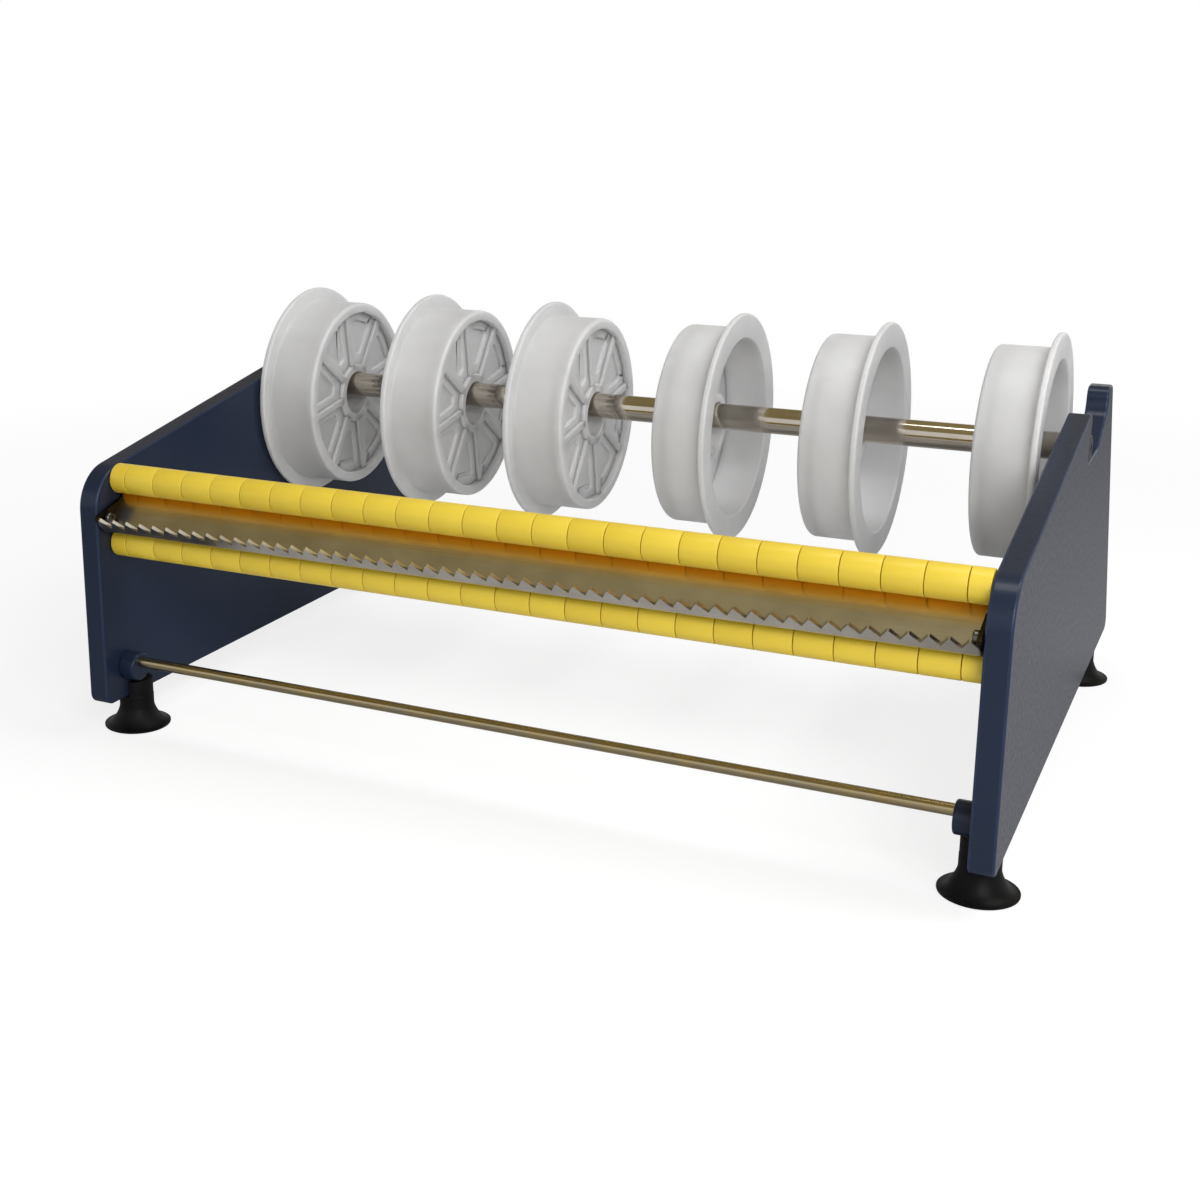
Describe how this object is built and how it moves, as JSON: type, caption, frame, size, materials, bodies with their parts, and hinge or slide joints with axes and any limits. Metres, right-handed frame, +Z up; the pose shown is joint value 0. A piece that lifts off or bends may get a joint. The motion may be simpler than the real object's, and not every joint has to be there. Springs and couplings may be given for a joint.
{
  "type": "label dispenser",
  "caption": "Bench-top label dispenser: navy side plates, lift-out chromed shaft with loose core discs, toothed tear bar, yellow rollers and suction-cup feet.",
  "frame": {"origin": "centre of the bounding box at table level, under the suction cups", "axes": "+X along the roll shaft to the right as seen from the teeth, +Y from the teeth to the rear, +Z up"},
  "size_m": [0.342, 0.2664, 0.1535],
  "materials": {
    "navy_coat": "satin navy powder coat",
    "light_plastic": "light grey moulded plastic, fine matt",
    "yellow_plastic": "yellow plastic, semi-gloss",
    "black_rubber": "smooth black rubber",
    "black_plastic": "black plastic",
    "polished_steel": "polished stainless sheet",
    "chromed_steel": "bright chrome plate",
    "zinc_steel": "zinc-plated steel"
  },
  "bodies": {
    "frame": {"lower_collar_left": "yellow_plastic", "lower_collar_right": "yellow_plastic", "lower_roller_rod": "zinc_steel", "rod_boss_left": "navy_coat", "rod_boss_right": "navy_coat", "side_plate_left": "navy_coat", "side_plate_right": "navy_coat", "suction_cup_front_left": "black_rubber", "suction_cup_front_right": "black_rubber", "suction_cup_rear_left": "black_rubber", "suction_cup_rear_right": "black_rubber", "tear_bar": "polished_steel", "tear_bar_screw_left": "zinc_steel", "tear_bar_screw_right": "zinc_steel", "tie_rod": "chromed_steel", "upper_collar_left": "yellow_plastic", "upper_collar_right": "yellow_plastic", "upper_roller_rod": "zinc_steel"},
    "shaft": {"roll_shaft": "chromed_steel", "shaft_plug_left": "black_plastic", "shaft_plug_right": "black_plastic"},
    "disc_1": {"core_disc_1": "light_plastic"},
    "disc_2": {"core_disc_2": "light_plastic"},
    "disc_3": {"core_disc_3": "light_plastic"},
    "disc_4": {"core_disc_4": "light_plastic"},
    "disc_5": {"core_disc_5": "light_plastic"},
    "disc_6": {"core_disc_6": "light_plastic"},
    "lower_sleeve_01_body": {"lower_sleeve_01": "yellow_plastic"},
    "lower_sleeve_02_body": {"lower_sleeve_02": "yellow_plastic"},
    "lower_sleeve_03_body": {"lower_sleeve_03": "yellow_plastic"},
    "lower_sleeve_04_body": {"lower_sleeve_04": "yellow_plastic"},
    "lower_sleeve_05_body": {"lower_sleeve_05": "yellow_plastic"},
    "lower_sleeve_06_body": {"lower_sleeve_06": "yellow_plastic"},
    "lower_sleeve_07_body": {"lower_sleeve_07": "yellow_plastic"},
    "lower_sleeve_08_body": {"lower_sleeve_08": "yellow_plastic"},
    "lower_sleeve_09_body": {"lower_sleeve_09": "yellow_plastic"},
    "lower_sleeve_10_body": {"lower_sleeve_10": "yellow_plastic"},
    "lower_sleeve_11_body": {"lower_sleeve_11": "yellow_plastic"},
    "lower_sleeve_12_body": {"lower_sleeve_12": "yellow_plastic"},
    "upper_sleeve_01_body": {"upper_sleeve_01": "yellow_plastic"},
    "upper_sleeve_02_body": {"upper_sleeve_02": "yellow_plastic"},
    "upper_sleeve_03_body": {"upper_sleeve_03": "yellow_plastic"},
    "upper_sleeve_04_body": {"upper_sleeve_04": "yellow_plastic"},
    "upper_sleeve_05_body": {"upper_sleeve_05": "yellow_plastic"},
    "upper_sleeve_06_body": {"upper_sleeve_06": "yellow_plastic"},
    "upper_sleeve_07_body": {"upper_sleeve_07": "yellow_plastic"},
    "upper_sleeve_08_body": {"upper_sleeve_08": "yellow_plastic"},
    "upper_sleeve_09_body": {"upper_sleeve_09": "yellow_plastic"},
    "upper_sleeve_10_body": {"upper_sleeve_10": "yellow_plastic"},
    "upper_sleeve_11_body": {"upper_sleeve_11": "yellow_plastic"},
    "upper_sleeve_12_body": {"upper_sleeve_12": "yellow_plastic"}
  },
  "joints": [
    {"name": "shaft_lift_out", "type": "slide", "parent": "frame", "child": "shaft", "axis": [0, 0.309, 0.9511], "range_m": [0, 0.03]},
    {"name": "disc_1_spin", "type": "hinge", "parent": "shaft", "child": "disc_1", "pos_m": [-0.14496, 0.01982, 0.1095], "axis": [1, 0, 0], "continuous": true},
    {"name": "disc_2_spin", "type": "hinge", "parent": "shaft", "child": "disc_2", "pos_m": [-0.08804, 0.01982, 0.1095], "axis": [1, 0, 0], "continuous": true},
    {"name": "disc_3_spin", "type": "hinge", "parent": "shaft", "child": "disc_3", "pos_m": [-0.03364, 0.01982, 0.1095], "axis": [1, 0, 0], "continuous": true},
    {"name": "disc_4_spin", "type": "hinge", "parent": "shaft", "child": "disc_4", "pos_m": [0.02535, 0.01982, 0.1095], "axis": [1, 0, 0], "continuous": true},
    {"name": "disc_5_spin", "type": "hinge", "parent": "shaft", "child": "disc_5", "pos_m": [0.08127, 0.01982, 0.1095], "axis": [1, 0, 0], "continuous": true},
    {"name": "disc_6_spin", "type": "hinge", "parent": "shaft", "child": "disc_6", "pos_m": [0.14193, 0.01982, 0.1095], "axis": [1, 0, 0], "continuous": true},
    {"name": "lower_sleeve_01_spin", "type": "hinge", "parent": "frame", "child": "lower_sleeve_01_body", "pos_m": [-0.13805, -0.11798, 0.0747], "axis": [1, 0, 0], "continuous": true},
    {"name": "lower_sleeve_02_spin", "type": "hinge", "parent": "frame", "child": "lower_sleeve_02_body", "pos_m": [-0.11295, -0.11798, 0.0747], "axis": [1, 0, 0], "continuous": true},
    {"name": "lower_sleeve_03_spin", "type": "hinge", "parent": "frame", "child": "lower_sleeve_03_body", "pos_m": [-0.08785, -0.11798, 0.0747], "axis": [1, 0, 0], "continuous": true},
    {"name": "lower_sleeve_04_spin", "type": "hinge", "parent": "frame", "child": "lower_sleeve_04_body", "pos_m": [-0.06275, -0.11798, 0.0747], "axis": [1, 0, 0], "continuous": true},
    {"name": "lower_sleeve_05_spin", "type": "hinge", "parent": "frame", "child": "lower_sleeve_05_body", "pos_m": [-0.03765, -0.11798, 0.0747], "axis": [1, 0, 0], "continuous": true},
    {"name": "lower_sleeve_06_spin", "type": "hinge", "parent": "frame", "child": "lower_sleeve_06_body", "pos_m": [-0.01255, -0.11798, 0.0747], "axis": [1, 0, 0], "continuous": true},
    {"name": "lower_sleeve_07_spin", "type": "hinge", "parent": "frame", "child": "lower_sleeve_07_body", "pos_m": [0.01255, -0.11798, 0.0747], "axis": [1, 0, 0], "continuous": true},
    {"name": "lower_sleeve_08_spin", "type": "hinge", "parent": "frame", "child": "lower_sleeve_08_body", "pos_m": [0.03765, -0.11798, 0.0747], "axis": [1, 0, 0], "continuous": true},
    {"name": "lower_sleeve_09_spin", "type": "hinge", "parent": "frame", "child": "lower_sleeve_09_body", "pos_m": [0.06275, -0.11798, 0.0747], "axis": [1, 0, 0], "continuous": true},
    {"name": "lower_sleeve_10_spin", "type": "hinge", "parent": "frame", "child": "lower_sleeve_10_body", "pos_m": [0.08785, -0.11798, 0.0747], "axis": [1, 0, 0], "continuous": true},
    {"name": "lower_sleeve_11_spin", "type": "hinge", "parent": "frame", "child": "lower_sleeve_11_body", "pos_m": [0.11295, -0.11798, 0.0747], "axis": [1, 0, 0], "continuous": true},
    {"name": "lower_sleeve_12_spin", "type": "hinge", "parent": "frame", "child": "lower_sleeve_12_body", "pos_m": [0.13805, -0.11798, 0.0747], "axis": [1, 0, 0], "continuous": true},
    {"name": "upper_sleeve_01_spin", "type": "hinge", "parent": "frame", "child": "upper_sleeve_01_body", "pos_m": [-0.13805, -0.11668, 0.0983], "axis": [1, 0, 0], "continuous": true},
    {"name": "upper_sleeve_02_spin", "type": "hinge", "parent": "frame", "child": "upper_sleeve_02_body", "pos_m": [-0.11295, -0.11668, 0.0983], "axis": [1, 0, 0], "continuous": true},
    {"name": "upper_sleeve_03_spin", "type": "hinge", "parent": "frame", "child": "upper_sleeve_03_body", "pos_m": [-0.08785, -0.11668, 0.0983], "axis": [1, 0, 0], "continuous": true},
    {"name": "upper_sleeve_04_spin", "type": "hinge", "parent": "frame", "child": "upper_sleeve_04_body", "pos_m": [-0.06275, -0.11668, 0.0983], "axis": [1, 0, 0], "continuous": true},
    {"name": "upper_sleeve_05_spin", "type": "hinge", "parent": "frame", "child": "upper_sleeve_05_body", "pos_m": [-0.03765, -0.11668, 0.0983], "axis": [1, 0, 0], "continuous": true},
    {"name": "upper_sleeve_06_spin", "type": "hinge", "parent": "frame", "child": "upper_sleeve_06_body", "pos_m": [-0.01255, -0.11668, 0.0983], "axis": [1, 0, 0], "continuous": true},
    {"name": "upper_sleeve_07_spin", "type": "hinge", "parent": "frame", "child": "upper_sleeve_07_body", "pos_m": [0.01255, -0.11668, 0.0983], "axis": [1, 0, 0], "continuous": true},
    {"name": "upper_sleeve_08_spin", "type": "hinge", "parent": "frame", "child": "upper_sleeve_08_body", "pos_m": [0.03765, -0.11668, 0.0983], "axis": [1, 0, 0], "continuous": true},
    {"name": "upper_sleeve_09_spin", "type": "hinge", "parent": "frame", "child": "upper_sleeve_09_body", "pos_m": [0.06275, -0.11668, 0.0983], "axis": [1, 0, 0], "continuous": true},
    {"name": "upper_sleeve_10_spin", "type": "hinge", "parent": "frame", "child": "upper_sleeve_10_body", "pos_m": [0.08785, -0.11668, 0.0983], "axis": [1, 0, 0], "continuous": true},
    {"name": "upper_sleeve_11_spin", "type": "hinge", "parent": "frame", "child": "upper_sleeve_11_body", "pos_m": [0.11295, -0.11668, 0.0983], "axis": [1, 0, 0], "continuous": true},
    {"name": "upper_sleeve_12_spin", "type": "hinge", "parent": "frame", "child": "upper_sleeve_12_body", "pos_m": [0.13805, -0.11668, 0.0983], "axis": [1, 0, 0], "continuous": true}
  ]
}
